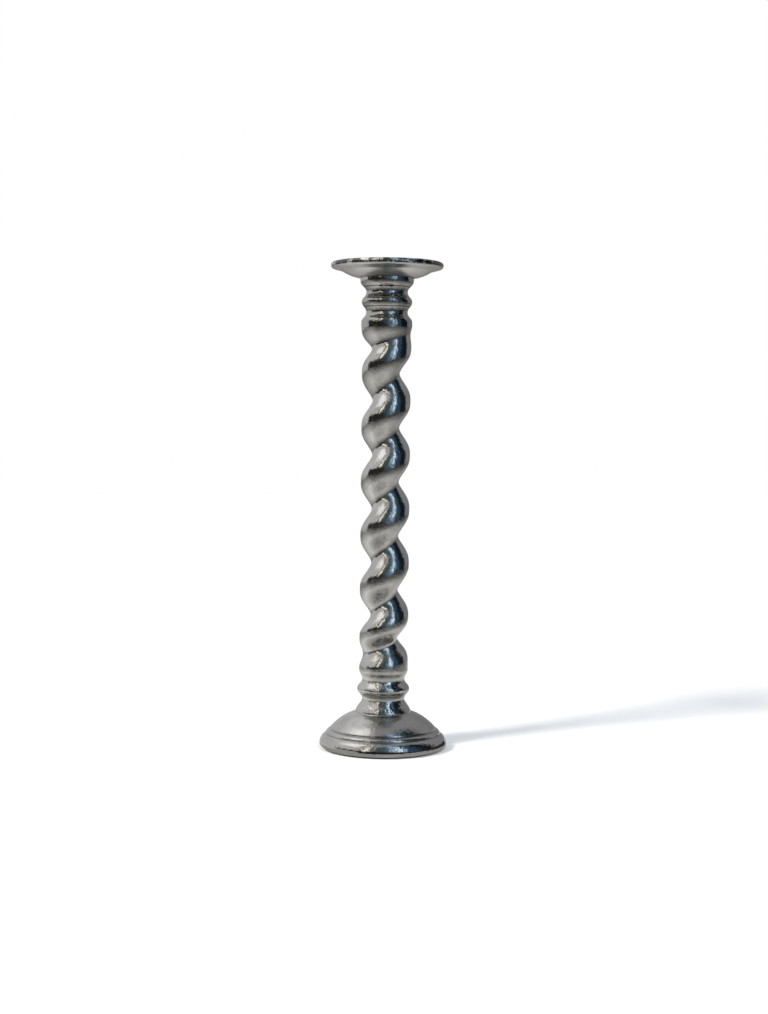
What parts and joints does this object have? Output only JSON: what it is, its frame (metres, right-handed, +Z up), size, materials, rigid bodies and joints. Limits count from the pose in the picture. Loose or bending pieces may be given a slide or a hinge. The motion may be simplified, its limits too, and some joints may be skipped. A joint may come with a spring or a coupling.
{
  "type": "spiral candle holder",
  "caption": "Tall pillar candle holder with a brimmed drip plate, a barley-twist stem between turned collars and a domed, stepped round base.",
  "frame": {"origin": "on the floor under the stem's axis, at the underside of the felt pad", "axes": "+Z up along the stem, +X to the right and -Y towards the viewer of the picture"},
  "size_m": [0.1314, 0.1314, 0.5],
  "materials": {
    "polished_nickel": "cast aluminium, nickel-plated and polished, with a faint hammered casting texture",
    "zinc_steel": "zinc-plated steel hardware",
    "felt": "dark grey wool felt, glued on"
  },
  "bodies": {
    "root": {"felt_pad": "felt", "base": "polished_nickel", "lower_collar": "polished_nickel", "spiral_stem": "polished_nickel", "upper_collar": "polished_nickel", "drip_plate": "polished_nickel", "tie_rod": "zinc_steel", "flat_washer": "zinc_steel", "spring_washer": "zinc_steel", "hex_nut": "zinc_steel"}
  },
  "joints": []
}
